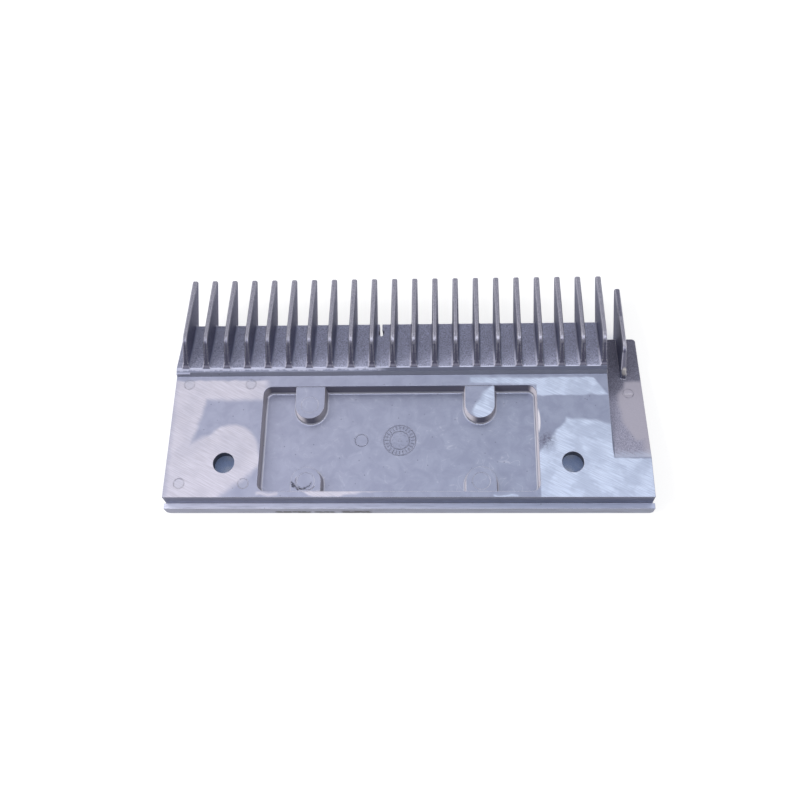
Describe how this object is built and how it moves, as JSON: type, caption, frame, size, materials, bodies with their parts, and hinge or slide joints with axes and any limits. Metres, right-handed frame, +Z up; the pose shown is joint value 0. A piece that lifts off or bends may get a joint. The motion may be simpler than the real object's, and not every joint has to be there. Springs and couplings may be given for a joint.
{
  "type": "escalator comb plate",
  "caption": "Cast comb plate end segment for an escalator landing: tapering teeth, a recessed seating face with screw holes, a rear ledge and a lowered last tooth on an end ramp.",
  "frame": {"origin": "middle of the footprint, on the tread face that it lies on", "axes": "+X along the row of teeth towards the lowered last tooth, +Y from the rear ledge to the tooth tips, +Z up out of the seating face"},
  "size_m": [0.205, 0.1044, 0.0226],
  "materials": {
    "cast_aluminium": "as cast, with linished patches on the seating face"
  },
  "bodies": {
    "root": {"comb_plate": "cast_aluminium"}
  },
  "joints": []
}
